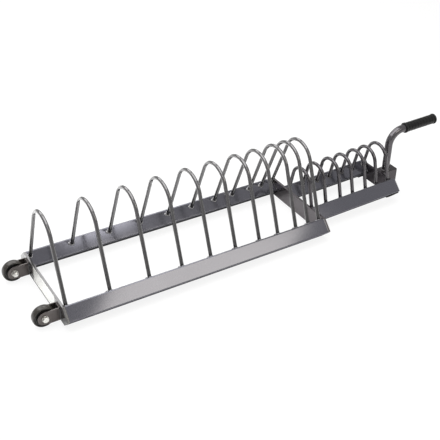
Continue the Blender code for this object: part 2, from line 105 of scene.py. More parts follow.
# Handle. The profile of the grip's end is given by radius and distance from the end. The start and width of
# the grip's bars are shares of their rows' pitch, and GRIP_BAR_SHARE is how much of its turn each one fills.
STUB_AT = 0.3518
STUB_WIDTH = 0.040
STUB_HEIGHT = 0.050
STUB_LENGTH = 0.0675
STUB_WALL = 0.003
STUB_CORNER = 0.0035
STUB_TOP = 0.0235
POST = 0.0269
POST_WALL = 0.002
POST_AT = 0.385
BEND_RADIUS = 0.051
HANDLE_HEIGHT = 0.171
GRIP_START = 0.4475
GRIP_LENGTH = 0.1405
GRIP_END = GRIP_START + GRIP_LENGTH
GRIP_END_WALL = 0.006
GRIP = 0.01695
GRIP_GROOVE = 0.001
GRIP_ROWS = 9
GRIP_BARS = 8
COLLAR = 0.01845
GRIP_END_PROFILE = ((COLLAR, 0.0008), (0.0105, 0.0), (0.0085, 0.0014), (0.0, 0.0022))
COLLAR_LENGTH = 0.007
COLLAR_SLOPE = 0.001
GRIP_BAR_SUNK = 0.0006
GRIP_BAR_EDGE = 0.00045
GRIP_BAR_SHARE = 0.82
GRIP_BAR_START = 0.18
GRIP_BAR_WIDTH = 0.62
PIPE_SIDES = 40

# Wheels, forks and axle bolts.
WHEEL = 0.067
WHEEL_WIDTH = 0.021
RIM = 0.046
RIM_WALL = 0.004
SIDE_RING = 0.004
SIDE_SUNK = 0.002
RIM_SUNK = 0.0023
TYRE_SLOPE = 0.0014
TYRE_SHOULDER = 0.0015
TREAD_HALF = 0.004
TYRE_ROUNDING = (0.0005, 0.0008, 0.0006, 0.0024, 0.0036)
HUB = 0.028
WEB = 0.009
WEB_SLOPE = 0.001
BUSH = 0.016
BUSH_HALF = 0.0122
AXLE = 0.010
FORK_RADIUS = 0.0215
FORK_REACH = 0.0455
FORK_HALF = 0.0155
FORK_SHEET = 0.003
FORK_BEND = 0.004
FORK_EDGE = 0.001
HOLE_SIDES = 48
WASHER = 0.020
WASHER_THICK = 0.0016
HEAD_ACROSS = 0.0165
HEAD_HEIGHT = 0.0064
NUT_HEIGHT = 0.010
NUT_SHOULDER = 0.0070
NUT_CROWN = 0.0071
THREAD = 0.016
THREAD_PITCH = 0.0015
THREAD_DEPTH = 0.0007
THREAD_PAST_NUT = 0.002
HEX_POINTS = 48
NO_LIMIT = 1.0

# Rubber feet.
FOOT_LENGTH = 0.025
FOOT_DEPTH = 0.0025
FOOT_HALF_FLAT = 0.004
FOOT_REACH = 0.045
FOOT_SKIN = 0.003

# Light. The world's level is seen apart by what it lights and by what mirrors it.
WORLD_LEVEL = 0.5
MIRRORED_LEVEL = 0.72
FLOOR_WHITE = 0.86
FLOOR_SHADED_SHARE = 0.16
FLOOR_MIRRORED = 0.12
SOFTBOXES = {
    "front softbox": {
        "at": (0.885, -2.3, 2.0), "turn": -13, "size": (1.45, 1.4), "radiance": 3.75, "tint": (1, 0.965, 0.84)
    },
    "side softbox": {"at": (0.36, -1.16, 2.0), "turn": 0, "size": (0.45, 0.36), "radiance": 4.0},
    "left softbox": {"at": (-1.35, 0.1, 2.0), "turn": 90, "size": (3.4, 0.5), "radiance": 4.0},
    "top softbox": {"at": (-0.08, 0.1, 2.0), "turn": 0, "size": (1.95, 1.5), "radiance": 3.6},
    "back softbox": {"at": (-0.3, 2.2, 2.0), "turn": 0, "size": (3.4, 1.7), "radiance": 3.0},
}
FLOOR_REACH = 12.0
FLOOR_DROP = 0.0005

# Colours that are used as they are.
BLACK = (0, 0, 0, 1)
WHITE = (1, 1, 1, 1)
# The next colour paints a bright reflection of the floor on the wheel end plate.
BARE_REFLECTION_WHITE = (0.9, 0.9, 0.87, 1)
# The next colour paints rubbed wear together with an edge highlight.
RUBBED_AND_LIT_EDGE = (0.4, 0.39, 0.38, 1)
FLOOR_DUST = (0.022, 0.0185, 0.015, 1)
FLOOR_TONES = (0.86, 0.88)

# Where looks change: the heights between which the hoops get darker as painted shade, the limits of the wheel
#  end plate's bare face with its painted reflection, how far above its foot its painted shadow ends, and how
#  soft the edge of the dusty treads is.
HOOP_SHADE_HEIGHTS = (0.25, 0.07)
REFLECTION_LEFT = (-0.096, -0.088)
REFLECTION_RIGHT = (0.076, 0.067)
FOOT_SHADOW_ENDS = (0.004, 0.0055)
TREAD_EDGE = 0.0008

# Welds: the half thickness of beads and runs and how far beads lie outside the rod or pipe, the lump where
# a bead stops, the step from scale to scale, and how far runs stop short.
HOOP_BEAD = 0.0018
HOOP_BEAD_OUT = 0.0007
POST_BEAD = 0.0021
POST_BEAD_OUT = 0.0008
STOP = 0.005
STOP_HEIGHT = 0.62
STOP_AT = (-ROD / 2 - 0.0028, 0, 0.0006)
PLATE_RUN = 0.0019
THIN_RUN = 0.0018
RAIL_END_RUN = 0.0012
SCALE_PITCH = 0.0035
SHORT = 0.003
PAST_PLATE = 0.0008


class Value:
    """A number in a shader. Python's operators on it add its Math nodes."""

    def __init__(self, finish, socket):
        self.finish = finish
        self.socket = socket

    def maths(self, operation, first, second):
        made = self.finish.node("ShaderNodeMath", {"operation": operation}, {0: first, 1: second})
        return Value(self.finish, made.outputs[0])

    def __add__(self, other):
        return self.maths("ADD", self, other)

    def __sub__(self, other):
        return self.maths("SUBTRACT", self, other)

    def __rsub__(self, other):
        return self.maths("SUBTRACT", other, self)

    def __mul__(self, other):
        return self.maths("MULTIPLY", self, other)

    __radd__ = __add__
    __rmul__ = __mul__


class Finish:
    """The node graph of one material or of the world."""

    def __init__(self, name, tree=None):
        if tree is None:
            self.material = bpy.data.materials.new(name)
            self.material.use_nodes = True
            tree = self.material.node_tree
            self.shader = tree.nodes["Principled BSDF"]
        self.tree = tree

    def node(self, kind, settings=None, inputs=None):
        """A node of this kind. Its settings are made first, then its sockets are fed."""
        made = self.tree.nodes.new(kind)
        for name, value in (settings or {}).items():
            setattr(made, name, value)
        for name, value in (inputs or {}).items():
            self.feed(made.inputs[name], value)
        return made

    def feed(self, socket, value):
        if isinstance(value, Value):
            value = value.socket
        if isinstance(value, bpy.types.NodeSocket):
            self.tree.links.new(value, socket)
        else:
            socket.default_value = value

    def set(self, **inputs):
        """Feeds the shader's sockets, whose names are written with _ for a blank."""
        for name, value in inputs.items():
            self.feed(self.shader.inputs[name.replace("_", " ")], value)

    def place(self):
        """Where a point lies in its piece's own coordinates."""
        return self.node("ShaderNodeTexCoord").outputs["Object"]

    def split(self, vector):
        """The three numbers of a vector."""
        parts = self.node("ShaderNodeSeparateXYZ", None, {"Vector": vector}).outputs
        return [Value(self, part) for part in parts]

    def facing(self):
        """Which way each flat face looks, as the three numbers that shade_evenly() keeps on it."""
        return self.split(self.node("ShaderNodeAttribute", {"attribute_name": FACING}).outputs["Vector"])

    def ray_kinds(self):
        """1 for rays from the camera, and 1 for mirrored or transmitted ones."""
        path = self.node("ShaderNodeLightPath")
        camera, glossy, clear = (
            Value(self, path.outputs[f"Is {kind} Ray"]) for kind in ("Camera", "Glossy", "Transmission")
        )
        return camera, glossy + clear

    def noise(self, scale, detail=2.0, roughness=0.5, stretch=(1, 1, 1)):
        """Noise from 0 to 1. scale counts its lumps in a metre."""
        vector = self.node("ShaderNodeMapping", None, {"Vector": self.place(), "Scale": stretch}).outputs[0]
        inputs = {"Vector": vector, "Scale": scale, "Detail": detail, "Roughness": roughness}
        return Value(self, self.node("ShaderNodeTexNoise", None, inputs).outputs["Fac"])

    def ramp(self, value, low, high):
        """0 at low, 1 at high, and straight between."""
        inputs = {"Value": value, "From Min": low, "From Max": high}
        return Value(self, self.node("ShaderNodeMapRange", {"clamp": True}, inputs).outputs[0])

    def mix(self, factor, first, second):
        """Between two colours."""
        inputs = {0: factor, 6: first, 7: second}
        return self.node("ShaderNodeMix", {"data_type": "RGBA"}, inputs).outputs[2]

    def bump(self, height, depth):
        return self.node("ShaderNodeBump", None, {"Height": height, "Distance": depth}).outputs[0]


def shade(colour, share):
    """A lighter or darker tone of the colour."""
    return (*(c * share for c in colour), 1.0)


def painted(
    name, colour, metallic=0.8, roughness=0.2, coat=0.4, edge=1.0, foot_shade_share=1.0,
    matt_shaded_under=False, painted_reflection_face=False, rubbed_and_lit_edges=False,
):
    """Grey metallic gloss coat: fine flakes, a slight orange peel and clouds of tone. edge is how much it
    mirrors at a flat angle. The options also paint light and shade: a hoop keeps only a share of its colour
    at its foot, a painted shade; faces that look down have less coat, are matt and are painted darker, a
    painted shade; the side of the wheel end plate that faces the wheels is bare, rougher metal painted near
    white, a painted reflection of the bright floor, with a painted shadow along its foot and its front rims
    painted lighter as a highlight; and the rims of an upright sheet are painted lighter, as rubbed wear and a
    painted edge highlight."""
    paint = Finish(name)
    clouds = paint.noise(9.0, 3.0)
    flakes = paint.ramp(paint.noise(2600.0, 1.0), 0.35, 0.72)
    tone = paint.mix(clouds, shade(colour, 0.92), shade(colour, 1.07))
    tone = paint.mix(flakes * 0.25, tone, shade(colour, 1.3))
    rough = roughness - 0.02 + 0.03 * clouds + 0.02 * flakes
    paint.set(Metallic=metallic, Coat_Weight=coat, Coat_Roughness=0.1, Specular_Tint=(edge, edge, edge, 1))
    # Faces that look down: less coat, matt, and painted darker as shade.
    if matt_shaded_under:
        under = paint.ramp(0 - paint.facing()[2], 0.25, 0.55)
        tone = paint.mix(under, tone, shade(colour, 0.3))
        rough = rough + 0.45 * under
        paint.set(Metallic=metallic - under * metallic, Coat_Weight=coat - under * coat)
        paint.set(Specular_IOR_Level=0.05)
    if painted_reflection_face:
        # The face towards the wheels: bare, rougher metal painted near white, a painted reflection of the
        # bright floor. Next to the rear fork it stays in the plain coat, a painted dark reflection of that
        # fork.
        _, across, up = paint.split(paint.place())
        facing = paint.facing()
        low, high = (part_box("plate_wheel_end")[0].z + above for above in FOOT_SHADOW_ENDS)
        outward = paint.ramp(0 - facing[0], 0.6, 0.9)
        bare_reflection = outward * paint.ramp(up, low, high)
        bare_reflection = bare_reflection * paint.ramp(across, *REFLECTION_RIGHT) * paint.ramp(across, *REFLECTION_LEFT)
        # Along its foot the face is painted nearly black, matt and without coat: a painted contact shadow.
        painted_foot_shadow = outward * paint.ramp(up, high, low)
        # Faces towards the front are painted lighter: a painted highlight.
        tone = paint.mix(paint.ramp(0 - facing[1], 0.6, 0.9), tone, shade(colour, 1.7))
        tone = paint.mix(painted_foot_shadow, paint.mix(bare_reflection, tone, BARE_REFLECTION_WHITE), shade(colour, 0.15))
        rough = rough + 0.12 * bare_reflection + 0.5 * painted_foot_shadow
        paint.set(Metallic=metallic + bare_reflection * (0.35 - metallic) - painted_foot_shadow * metallic)
        paint.set(Coat_Weight=coat - painted_foot_shadow * coat)
    # Painted shade: the hoops' colour darkens towards their feet.
    if foot_shade_share < 1.0:
        up = paint.split(paint.place())[2]
        tone = paint.mix(paint.ramp(up, *HOOP_SHADE_HEIGHTS) * (1 - foot_shade_share), tone, BLACK)
    # Rims of an upright sheet painted lighter: rubbed wear and a painted edge highlight.
    if rubbed_and_lit_edges:
        sideways = paint.facing()[1]
        squared = sideways * sideways
        rub_and_light = paint.ramp(squared, 0.15, 0.3) * paint.ramp(squared, 0.85, 0.7)
        tone = paint.mix(rub_and_light, tone, RUBBED_AND_LIT_EDGE)
    peel = paint.noise(600.0, 1.0)
    paint.set(Base_Color=tone, Roughness=rough, Normal=paint.bump(peel + 0.1 * flakes, 0.000001))
    return paint.material


def weld_paint(name, colour):
    """The same coat over the scales of a weld."""
    paint = Finish(name)
    lumps = paint.noise(700.0, 2.0)
    paint.set(Base_Color=paint.mix(lumps, shade(colour, 0.85), shade(colour, 1.35)), Metallic=0.8)
    paint.set(Roughness=0.24 + 0.16 * lumps, Normal=paint.bump(lumps, 0.0003))
    return paint.material


def rubber(name, colour, roughness, grain=1500.0, dust=0.35, shine=0.2, tread_radius=0.0):
    """Moulded black rubber: a fine grain, and a grey bloom in patches. Beyond tread_radius from the wheels'
    axle the rubber has picked up floor dust."""
    made = Finish(name)
    patches = made.ramp(made.noise(38.0, 4.0, 0.6), 0.48, 0.8)
    grains = made.noise(grain, 2.0)
    tone = made.mix(patches * dust, shade(colour, 1.0), shade(colour, 2.6))
    if tread_radius:
        low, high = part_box("tyre_front")
        along, _, up = made.split(made.place())
        along, up = along - (low.x + high.x) / 2, up - (low.z + high.z) / 2
        squared = along * along + up * up
        dusty = made.ramp(squared, (tread_radius - TREAD_EDGE) ** 2, (tread_radius + TREAD_EDGE) ** 2)
        tone = made.mix(dusty, tone, FLOOR_DUST)
    made.set(Base_Color=tone)
    made.set(Roughness=roughness - 0.08 + 0.1 * grains + 0.1 * patches)
    made.set(Normal=made.bump(grains, 0.00012), Specular_IOR_Level=shine)
    return made.material


def plated(name, colour, roughness):
    """Zinc plate or turned steel: bright, with faint brushing and duller specks."""
    made = Finish(name)
    brushed = made.noise(900.0, 2.0, 0.5, (1, 12, 1))
    specks = made.ramp(made.noise(500.0, 3.0), 0.55, 0.75)
    made.set(Base_Color=made.mix(specks * 0.5, shade(colour, 1.0), shade(colour, 0.72)), Metallic=1.0)
    made.set(Roughness=roughness - 0.05 + 0.12 * brushed + 0.08 * specks)
    made.set(Normal=made.bump(brushed, 0.00004))
    return made.material


# The rails' down-facing faces are painted darker, a painted shade.
RAIL_PAINT = painted("rail paint", (0.105, 0.104, 0.122), roughness=0.12, matt_shaded_under=True)
# Hoops: a painted shade darkens them towards their feet.
HOOP_PAINT = painted("hoop paint", (0.089, 0.086, 0.0885), coat=1.0, foot_shade_share=0.35)
# The small hoops, handle pipe, handle end bar and stub get darker copies of the frame's coat: painted shade.
SMALL_HOOP_PAINT = painted("small hoop paint", (0.058, 0.0535, 0.059), coat=0.5)
PIPE_PAINT = painted("handle pipe paint", (0.076, 0.071, 0.077), coat=0.5, edge=0.45)
PLATE_PAINT = painted("plate paint", (0.086, 0.077, 0.083))
# Wheel end plate: a painted reflection on its face towards the wheels, with painted shadow and highlight.
WHEEL_END_PAINT = painted("wheel end plate paint", (0.098, 0.096, 0.097), painted_reflection_face=True)
BAR_PAINT = painted("handle end bar paint", (0.05, 0.044, 0.05), coat=0.2, edge=0.3)
STUB_PAINT = painted("stub paint", (0.07, 0.064, 0.068), coat=0.2, edge=0.3)
# Forks: their rims are painted lighter, as rubbed wear and a painted edge highlight.
FORK_PAINT = painted("fork paint", (0.086, 0.075, 0.072), 0.72, 0.32, rubbed_and_lit_edges=True, edge=0.4)
# These welds are much lighter than the coat: a painted highlight, the light the beads catch.
WELD_PAINT = weld_paint("weld paint", (0.21, 0.207, 0.214))
DARK_WELD_PAINT = weld_paint("dark weld paint", (0.1, 0.097, 0.099))
BLACK_RUBBER = rubber("black rubber", (0.012, 0.012, 0.012), 0.6)
TYRE_RUBBER = rubber("tyre rubber", (0.006, 0.0055, 0.005), 0.3, dust=0.2, shine=0.45, tread_radius=0.0295)
GRIP_RUBBER = rubber("grip rubber", (0.0055, 0.0055, 0.0055), 0.34, 2200.0, 0.2, 0.24)
WHEEL_PLASTIC = rubber("wheel centre plastic", (0.009, 0.009, 0.009), 0.4, 2600.0, 0.15)
BRIGHT_ZINC = plated("bright zinc", (0.629, 0.62, 0.595), 0.26)
TURNED_STEEL = plated("turned steel", (0.45, 0.45, 0.45), 0.3)


def shade_evenly(made, sharp):
    """Smooth over gentle edges only, with flat faces left flat. Each face keeps which way it looks."""
    made.data.shade_smooth()
    made.data.set_sharp_from_angle(angle=math.radians(sharp))
    kept = made.data.attributes.get(FACING) or made.data.attributes.new(FACING, "FLOAT_VECTOR", "FACE")
    kept.data.foreach_set("vector", [number for face in made.data.polygons for number in face.normal])
    made.modifiers.new("even shading", "WEIGHTED_NORMAL").keep_sharp = True


def add(name, data):
    """A new object in the scene."""
    made = bpy.data.objects.new(name, data)
    bpy.context.scene.collection.objects.link(made)
    return made


def mesh_of(name, shape):
    """The shape as a mesh. The shape itself is used up."""
    mesh = bpy.data.meshes.new(name)
    shape.to_mesh(mesh)
    shape.free()
    return mesh


def move(shape, matrix):
    """Moves the whole shape, and hands it back."""
    bmesh.ops.transform(shape, matrix=matrix, verts=shape.verts)
    return shape


def piece(name, shape, look, stands_for=(), at=None, body="frame", sharp=SHARP):
    """Makes an object of the shape, which rides on its body and may stand for nodes of the frame."""
    if at is not None:
        move(shape, at)
    bmesh.ops.remove_doubles(shape, verts=shape.verts, dist=MERGE)
    bmesh.ops.recalc_face_normals(shape, faces=shape.faces)
    mesh = mesh_of(name, shape)
    mesh.materials.append(look)
    made = add(name, mesh)
    shade_evenly(made, sharp)
    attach(made, body)
    if stands_for:
        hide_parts(*stands_for)
    return made


def verts_in(made):
    """The vertices among what an operator made."""
    return [v for v in made if isinstance(v, bmesh.types.BMVert)]


def edges_in(made):
    """The edges among what an operator made."""
    return [e for e in made if isinstance(e, bmesh.types.BMEdge)]


def polygon(shape, corners):
    """One flat face through corners in Y and Z."""
    return shape.faces.new([shape.verts.new((0, y, z)) for y, z in corners])


def soften(shape, width, segments=2, least=30):
    """Rounds every edge at which the faces turn by more than the least angle."""
    edges = [e for e in shape.edges if e.is_manifold and e.calc_face_angle() > math.radians(least)]
    options = {"affect": "EDGES", "segments": segments, "profile": 0.5, "material": -1}
    bmesh.ops.bevel(shape, geom=edges, offset=width, **options)


def round_corners(shape, verts, radius, segments=5):
    options = {"affect": "VERTICES", "segments": segments, "profile": 0.5, "material": -1}
    bmesh.ops.bevel(shape, geom=verts, offset=radius, **options)


def thicken(shape, length):
    """Draws the flat faces out along X, so that they become a solid."""
    grown = bmesh.ops.extrude_face_region(shape, geom=list(shape.faces), use_keep_orig=True)["geom"]
    bmesh.ops.translate(shape, vec=(length, 0, 0), verts=verts_in(grown))
    bmesh.ops.recalc_face_normals(shape, faces=shape.faces)


def box_outline(width, height):
    w, h = width / 2, height / 2
    return [(-w, -h), (w, -h), (w, h), (-w, h)]


def bar_shape(corners, length, edge=EDGE, rounded=None, radius=0.0):
    """A solid bar along X. rounded picks the corners that get the radius."""
    shape = bmesh.new()
    face = polygon(shape, corners)
    if radius:
        verts = list(face.verts)
        round_corners(shape, [verts[i] for i in rounded or range(len(verts))], radius)
    thicken(shape, length)
    soften(shape, edge)
    return shape


def tube_shape(width, height, wall, corner, length):
    """A rectangular tube along X with rounded corners and open ends."""
    shape = bmesh.new()
    face = polygon(shape, box_outline(width, height))
    round_corners(shape, list(face.verts), corner)
    end = bmesh.ops.inset_region(shape, faces=shape.faces[:], thickness=wall, use_boundary=True)["faces"]
    opening = [f for f in shape.faces if f not in end]
    bmesh.ops.delete(shape, geom=opening, context="FACES_ONLY")
    thicken(shape, length)
    soften(shape, TUBE_EDGE, 2, 60)
    return shape


def turned(corners, steps=64, rounding=None):
    """A body turned about Y from an outline of (radius, y). rounding gives some of its corners a radius."""
    shape = bmesh.new()
    verts = [shape.verts.new((radius, y, 0)) for radius, y in corners]
    shape.faces.new(verts)
    for number, radius in (rounding or {}).items():
        round_corners(shape, [verts[number]], radius, 4)
    bmesh.ops.delete(shape, geom=shape.faces[:], context="FACES_ONLY")
    options = {"cent": (0, 0, 0), "axis": (0, 1, 0), "angle": 2 * math.pi, "steps": steps}
    bmesh.ops.spin(shape, geom=shape.verts[:] + shape.edges[:], use_merge=True, **options)
    bmesh.ops.remove_doubles(shape, verts=shape.verts, dist=MERGE)
    return shape


def hoop_shape(top, lean, apex, gauge, face_z):
    """A hoop of round rod in the plane x = 0, its feet cut along the inner upper faces of the rails."""
    shape = bmesh.new()
    ring = bmesh.ops.create_circle(shape, segments=ROD_SIDES, radius=ROD / 2)["verts"]
    centre = Vector((0, 0, apex - ROD / 2 - top))
    bmesh.ops.rotate(shape, matrix=Matrix.Rotation(lean, 3, "X"), verts=ring)
    start = centre + top * Vector((0, math.cos(lean), math.sin(lean)))
    bmesh.ops.translate(shape, vec=start, verts=ring)
    ends = [list(shape.edges)]
    options = {"cent": centre, "axis": (1, 0, 0), "angle": math.pi - 2 * lean, "steps": HOOP_STEPS}
    spun = bmesh.ops.spin(shape, geom=ring + ends[0], **options)["geom_last"]
    ends.append(edges_in(spun))
    for side, rim in zip((1, -1), ends):
        grown = verts_in(bmesh.ops.extrude_edge_only(shape, edges=rim)["geom"])
        reach = 2 * gauge
        leg = (0, side * reach * math.sin(lean), -reach * math.cos(lean))
        bmesh.ops.translate(shape, vec=leg, verts=grown)
        geometry = shape.verts[:] + shape.edges[:] + shape.faces[:]
        cut = bmesh.ops.bisect_plane(
            shape,
            geom=geometry,
            plane_co=(0, side * gauge, face_z),
            plane_no=(0, side, -1),
            clear_outer=True,
        )["geom_cut"]
        bmesh.ops.contextual_create(shape, geom=edges_in(cut))
    return shape


def bead(radius, thickness, steps, ripples, sides=10):
    """A ring of weld round the axis Z, its scales as ripples."""
    shape = bmesh.new()
    ring = bmesh.ops.create_circle(shape, segments=sides, radius=thickness)["verts"]
    bmesh.ops.rotate(shape, matrix=Matrix.Rotation(math.pi / 2, 3, "X"), verts=ring)
    bmesh.ops.translate(shape, vec=(radius, 0, 0), verts=ring)
    options = {"cent": (0, 0, 0), "axis": (0, 0, 1), "angle": 2 * math.pi, "steps": steps}
    bmesh.ops.spin(shape, geom=shape.verts[:] + shape.edges[:], use_merge=True, **options)
    bmesh.ops.remove_doubles(shape, verts=shape.verts, dist=MERGE)
    for vert in shape.verts:
        around = math.atan2(vert.co.y, vert.co.x)
        middle = Vector((math.cos(around), math.sin(around), 0)) * radius
        swell = 1 + 0.16 * math.sin(ripples * around) + 0.08 * math.sin(3 * around + 1)
        vert.co = middle + (vert.co - middle) * swell
    return shape


def lump(radius, height, turn):
    """Where a weld stops: a low blob with a few scales."""
    shape = bmesh.new()
    bmesh.ops.create_icosphere(shape, subdivisions=3, radius=radius)
    for vert in shape.verts:
        vert.co *= 1 + 0.09 * math.sin(5 * math.atan2(vert.co.y, vert.co.x) + turn)
        vert.co.z *= height
    return shape


def seam(start, end, thickness, sides=8):
    """A straight run of weld between two points, its scales as ripples, closed at both ends."""
    start, end = Vector(start), Vector(end)
    along = end - start
    steps = max(6, round(along.length / SCALE_PITCH * 4))
    shape = bmesh.new()
    cone = {"segments": sides, "radius1": thickness, "radius2": thickness, "depth": along.length}
    bmesh.ops.create_cone(shape, cap_ends=True, **cone)
    long_edges = [e for e in shape.edges if abs(e.verts[0].co.z - e.verts[1].co.z) > MERGE]
    bmesh.ops.subdivide_edges(shape, edges=long_edges, cuts=steps, use_grid_fill=True)
    half = along.length / 2
    for vert in shape.verts:
        swell = 1 + 0.2 * math.sin(2 * math.pi * vert.co.z / SCALE_PITCH)
        taper = min(1.0, 0.35 + (half - abs(vert.co.z)) / (2 * thickness))
        vert.co.x *= swell * taper
        vert.co.y *= swell * taper
    turn = along.to_track_quat("Z", "Y").to_matrix().to_4x4()
    turn.translation = (start + end) / 2
    return move(shape, turn)


def together(shapes):
    """Joins several shapes into one."""
    joined = bmesh.new()
    holder = bpy.data.meshes.new("holder")
    for shape in shapes:
        shape.to_mesh(holder)
        joined.from_mesh(holder)
        shape.free()
    bpy.data.meshes.remove(holder)
    return joined


def middle(node):
    low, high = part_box(node)
    return (low + high) / 2


def main_rails():
    for side in ("front", "rear"):
        low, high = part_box(f"rail_{side}")
        place = Matrix.Translation((low.x, (low.y + high.y) / 2, (low.z + high.z) / 2)) @ ON_CORNER
        shape = tube_shape(TUBE, TUBE, TUBE_WALL, TUBE_CORNER, high.x - low.x)
        piece(f"main_rail_{side}", shape, RAIL_PAINT, (f"rail_{side}",), place)


def plate_corners():
    """The outline of the closing plates: level with the ridges, and following the tubes at both ends."""
    low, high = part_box("plate_middle")
    tip = GAUGE + HALF_DIAGONAL
    half = [(tip - (AXIS_Z - low.z), low.z), (tip, AXIS_Z), (tip - (high.z - AXIS_Z), high.z)]
    return half + [(-y, z) for y, z in reversed(half)]


def closing_plates():
    for name, look in (("wheel_end", WHEEL_END_PAINT), ("middle", PLATE_PAINT)):
        low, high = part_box(f"plate_{name}")
        shape = bar_shape(plate_corners(), high.x - low.x, EDGE, (1, 4), TUBE_CORNER)
        place = Matrix.Translation((low.x, 0, 0))
        piece(f"closing_plate_{name}", shape, look, (f"plate_{name}",), place)


def main_hoops():
    for number in range(1, MAIN_HOOPS + 1):
        node = f"hoop_{number:02d}"
        shape = hoop_shape(MAIN_TOP, MAIN_LEAN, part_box(node)[1].z, GAUGE, AXIS_Z + HALF_DIAGONAL + FOOT_GAP)
        place = Matrix.Translation((middle(node).x, 0, 0))
        piece(f"bent_hoop_{number:02d}", shape, HOOP_PAINT, (node,), place)


def small_rails():
    start = GAP + HALF_DIAGONAL * math.sin(CLIMB)
    for side, y in (("front", -SMALL_GAUGE), ("rear", SMALL_GAUGE)):
        place = SMALL @ Matrix.Translation((start, y, 0)) @ ON_CORNER
        shape = tube_shape(TUBE, TUBE, TUBE_WALL, TUBE_CORNER, SMALL_LENGTH - start)
        name = f"small_rail_{side}"
        piece(f"short_rail_{side}", shape, RAIL_PAINT, (name,), place)
        shape = bar_shape(box_outline(TUBE, TUBE), END_CAP, EDGE, (0, 1, 2, 3), TUBE_CORNER)
        place = SMALL @ Matrix.Translation((SMALL_LENGTH + GAP, y, 0)) @ ON_CORNER
        name = f"small_rail_cap_{side}"
        piece(f"end_cap_{side}", shape, RAIL_PAINT, (name,), place)


def small_hoops():
    for number in range(1, SMALL_HOOPS + 1):
        node = f"small_hoop_{number}"
        shape = hoop_shape(SMALL_TOP, SMALL_LEAN, SMALL_APEX, SMALL_GAUGE, HALF_DIAGONAL + FOOT_GAP)
        place = SMALL @ Matrix.Translation((small_hoop_x(node), 0, 0))
        piece(f"bent_small_hoop_{number}", shape, SMALL_HOOP_PAINT, (node,), place)


def handle_end_bar():
    inner = SMALL_GAUGE - HALF_DIAGONAL - FOOT_GAP
    half = [(inner - BAR_BOTTOM, BAR_BOTTOM), (inner, 0.0), (inner + BAR_TOP, BAR_TOP)]
    corners = half + [(-y, z) for y, z in reversed(half)]
    shape = bar_shape(corners, PLATE, EDGE)
    place = SMALL @ Matrix.Translation((BAR_AT, 0, 0))
    piece("cross_bar_handle_end", shape, BAR_PAINT, ("bar_handle_end",), place)


def carve(made, tool_shape):
    """Cuts the tool out of a piece for good."""
    tool = add("tool", mesh_of("tool", tool_shape))
    step = made.modifiers.new("cut", "BOOLEAN")
    step.operation, step.solver, step.object = "DIFFERENCE", "EXACT", tool
    graph = bpy.context.evaluated_depsgraph_get()
    cut = bpy.data.meshes.new_from_object(made.evaluated_get(graph))
    made.modifiers.clear()
    made.data = cut
    bpy.data.objects.remove(tool)
    shade_evenly(made, SHARP)


def rod_shape(radius, start, length, axis="Y"):
    """A plain round tool for cutting holes."""
    shape = bmesh.new()
    cone = {"segments": HOLE_SIDES, "radius1": radius, "radius2": radius, "depth": length}
    bmesh.ops.create_cone(shape, cap_ends=True, **cone)
    if axis == "Y":
        bmesh.ops.rotate(shape, matrix=Matrix.Rotation(math.pi / 2, 3, "X"), verts=shape.verts)
    bmesh.ops.translate(shape, vec=start, verts=shape.verts)
    return shape


def handle_stub():
    stub_z = STUB_TOP - STUB_HEIGHT / 2
    shape = tube_shape(STUB_WIDTH, STUB_HEIGHT, STUB_WALL, STUB_CORNER, STUB_LENGTH)
    place = SMALL @ Matrix.Translation((STUB_AT, 0, stub_z))
    stub = piece("stub_tube", shape, STUB_PAINT, ("handle_stub",), place)
    hole = rod_shape(POST / 2 + GAP, (POST_AT, 0, STUB_TOP), 4 * STUB_WALL, "Z")
    carve(stub, move(hole, SMALL))
    shape = bar_shape(box_outline(STUB_WIDTH, STUB_HEIGHT), END_CAP, EDGE, (0, 1, 2, 3), STUB_CORNER)
    place = SMALL @ Matrix.Translation((STUB_AT + STUB_LENGTH + GAP, 0, stub_z))
    piece("stub_end_cap", shape, STUB_PAINT, ("handle_stub_cap",), place)


def handle_tube():
    """A bent pipe: straight up from inside the stub, round a quarter turn, and level into the grip."""
    shape = bmesh.new()
    foot = STUB_TOP - STUB_HEIGHT + STUB_WALL + GAP
    bend_z = HANDLE_HEIGHT - BEND_RADIUS
    ends = []
    for radius in (POST / 2, POST / 2 - POST_WALL):
        ring = bmesh.ops.create_circle(shape, segments=PIPE_SIDES, radius=radius)["verts"]
        bmesh.ops.translate(shape, vec=(POST_AT, 0, foot), verts=ring)
        rim = list({e for v in ring for e in v.link_edges})
        ends += rim
        grown = bmesh.ops.extrude_edge_only(shape, edges=rim)["geom"]
        bmesh.ops.translate(shape, vec=(0, 0, bend_z - foot), verts=verts_in(grown))
        centre = (POST_AT + BEND_RADIUS, 0, bend_z)
        options = {"cent": centre, "axis": (0, 1, 0), "angle": math.pi / 2, "steps": 24}
        spun = bmesh.ops.spin(shape, geom=verts_in(grown) + edges_in(grown), **options)["geom_last"]
        grown = bmesh.ops.extrude_edge_only(shape, edges=edges_in(spun))["geom"]
        reach = GRIP_END - GRIP_END_WALL - POST_AT - BEND_RADIUS
        bmesh.ops.translate(shape, vec=(reach, 0, 0), verts=verts_in(grown))
        ends += edges_in(grown)
    bmesh.ops.bridge_loops(shape, edges=[e for e in ends if e.verts[0].co.z < bend_z])
    bmesh.ops.bridge_loops(shape, edges=[e for e in ends if e.verts[0].co.z > bend_z])
    piece("handle_pipe", shape, PIPE_PAINT, ("handle_tube",), SMALL)


